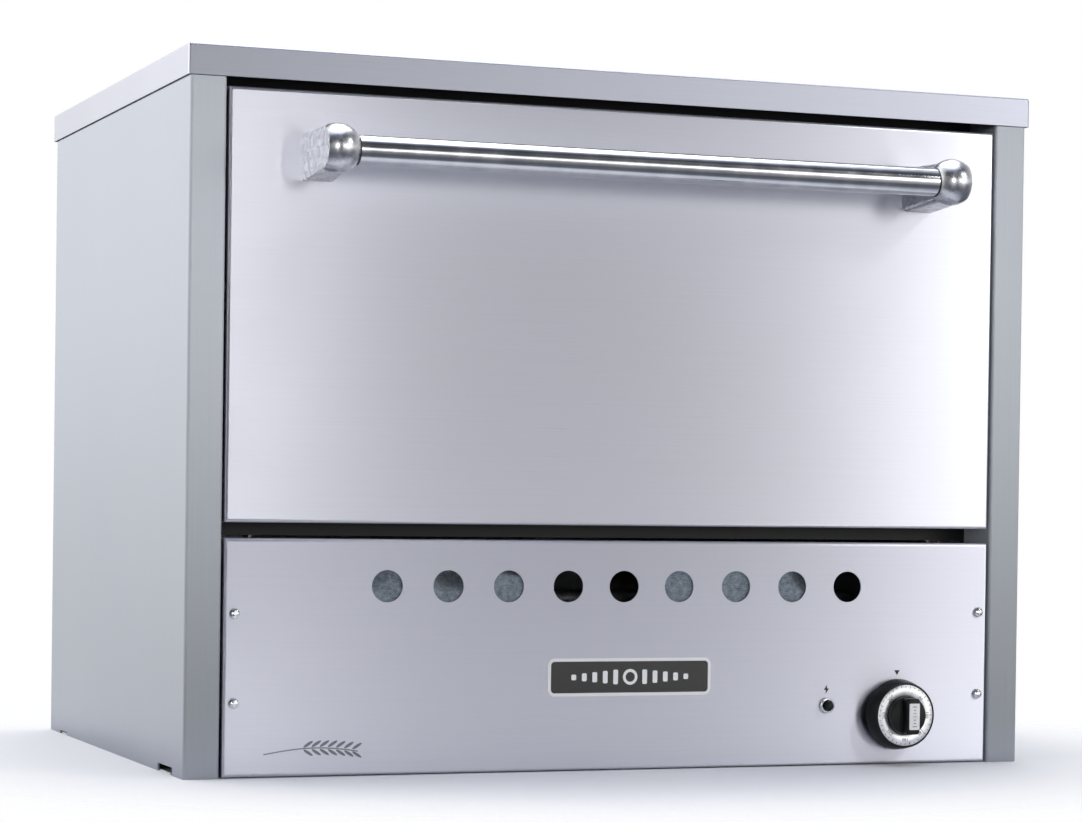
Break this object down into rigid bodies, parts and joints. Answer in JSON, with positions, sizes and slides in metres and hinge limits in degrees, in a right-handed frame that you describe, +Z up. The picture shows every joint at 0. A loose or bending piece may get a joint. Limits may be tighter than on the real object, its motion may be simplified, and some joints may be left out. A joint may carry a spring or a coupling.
{
  "type": "deck oven",
  "caption": "Table-top gas stone oven with a drop-down door, a bar handle, a lower control panel with air holes, a push-button igniter and a thermostat knob.",
  "frame": {"origin": "on the floor, under the middle of the casing, on the underside of the base pan", "axes": "+Z up, +X to the right of someone facing the door, the door faces -Y"},
  "size_m": [0.805, 0.648, 0.62],
  "materials": {
    "stainless_brushed": "brushed along the width",
    "stainless_satin": "satin, brushed upright",
    "zinc_sheet": "galvanised sheet",
    "black_enamel": "heat-resistant black, satin",
    "chamber_steel": "aluminised sheet, dull",
    "hearth_stone": "fired refractory, matt",
    "frame_steel": "mill finish",
    "spring_steel": "oiled",
    "burner_steel": "heat-tinted",
    "ceramic_wool": "fibre blanket",
    "chrome_tube": "polished",
    "cast_aluminium": "polished casting",
    "zinc_screw": "bright zinc",
    "bakelite_black": "moulded, semi-gloss",
    "dial_aluminium": "printed disc",
    "inlay_white": "printed inlay",
    "brass": "machined",
    "pipe_steel": "pipe, dull",
    "copper_tube": "drawn copper",
    "gasket_cord": "braided glass rope, flat",
    "badge_black": "printed plate, gloss",
    "electrode_ceramic": "glazed porcelain",
    "igniter_plastic": "moulded",
    "lead_sleeve": "silicone sleeve"
  },
  "bodies": {
    "casing": {"control_panel": "stainless_brushed", "top_cover": "stainless_brushed", "left_side_panel": "stainless_satin", "right_side_panel": "stainless_satin", "back_panel": "zinc_sheet", "base_pan": "zinc_sheet", "panel_tabs": "zinc_sheet", "flue_duct": "zinc_sheet", "hinge_brackets": "zinc_sheet", "door_head_rail": "black_enamel", "hearth_sill_rail": "black_enamel", "frame_stiles": "black_enamel", "chamber_left_wall": "chamber_steel", "chamber_right_wall": "chamber_steel", "chamber_back_wall": "chamber_steel", "chamber_roof": "chamber_steel", "hearth_stone_left": "hearth_stone", "hearth_stone_right": "hearth_stone", "stone_support_rails": "frame_steel", "burner_supports": "frame_steel", "pilot_holder": "frame_steel", "door_spring_left": "spring_steel", "door_spring_right": "spring_steel", "burner_left": "burner_steel", "burner_right": "burner_steel", "side_insulation": "ceramic_wool", "top_insulation": "ceramic_wool", "back_insulation": "ceramic_wool", "front_insulation_pads": "ceramic_wool", "igniter_bezel": "chrome_tube", "control_panel_screws": "zinc_screw", "thermostat_valve": "brass", "burner_injectors": "brass", "pilot_burner": "brass", "gas_manifold": "pipe_steel", "gas_inlet_pipe": "pipe_steel", "capillary_tube": "copper_tube", "pilot_tube": "copper_tube", "thermocouple_lead": "copper_tube", "thermostat_bulb": "copper_tube", "thermocouple": "copper_tube", "badge_plate": "badge_black", "spark_electrode": "electrode_ceramic", "igniter_body": "igniter_plastic", "ignition_lead": "lead_sleeve"},
    "door": {"door_outer_skin": "stainless_brushed", "door_inner_panel": "chamber_steel", "door_insulation": "ceramic_wool", "door_gasket": "gasket_cord", "handle_tube": "chrome_tube", "handle_arm_left": "cast_aluminium", "handle_arm_right": "cast_aluminium", "handle_arm_screws": "zinc_screw", "door_hinge_pins": "frame_steel"},
    "valve_stem": {"valve_thrust_collar": "brass"},
    "knob": {"thermostat_knob": "bakelite_black", "dial_ring": "dial_aluminium", "knob_inlay": "inlay_white", "valve_spindle": "brass"},
    "igniter": {"igniter_button": "bakelite_black"}
  },
  "joints": [
    {"name": "door_hinge", "type": "hinge", "parent": "casing", "child": "door", "pos_m": [0, -0.2545, 0.228], "axis": [1, 0, 0], "range_deg": [0, 90], "stiffness_Nm_per_rad": 6, "springref_deg": -28.65, "deforming": ["door_spring_left", "door_spring_right"]},
    {"name": "valve_push", "type": "slide", "parent": "casing", "child": "valve_stem", "axis": [0, 1, 0], "range_m": [0, 0.004], "stiffness_N_per_m": 800, "springref_m": -0.004},
    {"name": "knob_turn", "type": "hinge", "parent": "valve_stem", "child": "knob", "pos_m": [0.272, -0.2725, 0.0465], "axis": [0, -1, 0], "range_deg": [0, 270]},
    {"name": "igniter_push", "type": "slide", "parent": "casing", "child": "igniter", "axis": [0, 1, 0], "range_m": [0, 0.003], "stiffness_N_per_m": 500, "springref_m": -0.003}
  ]
}
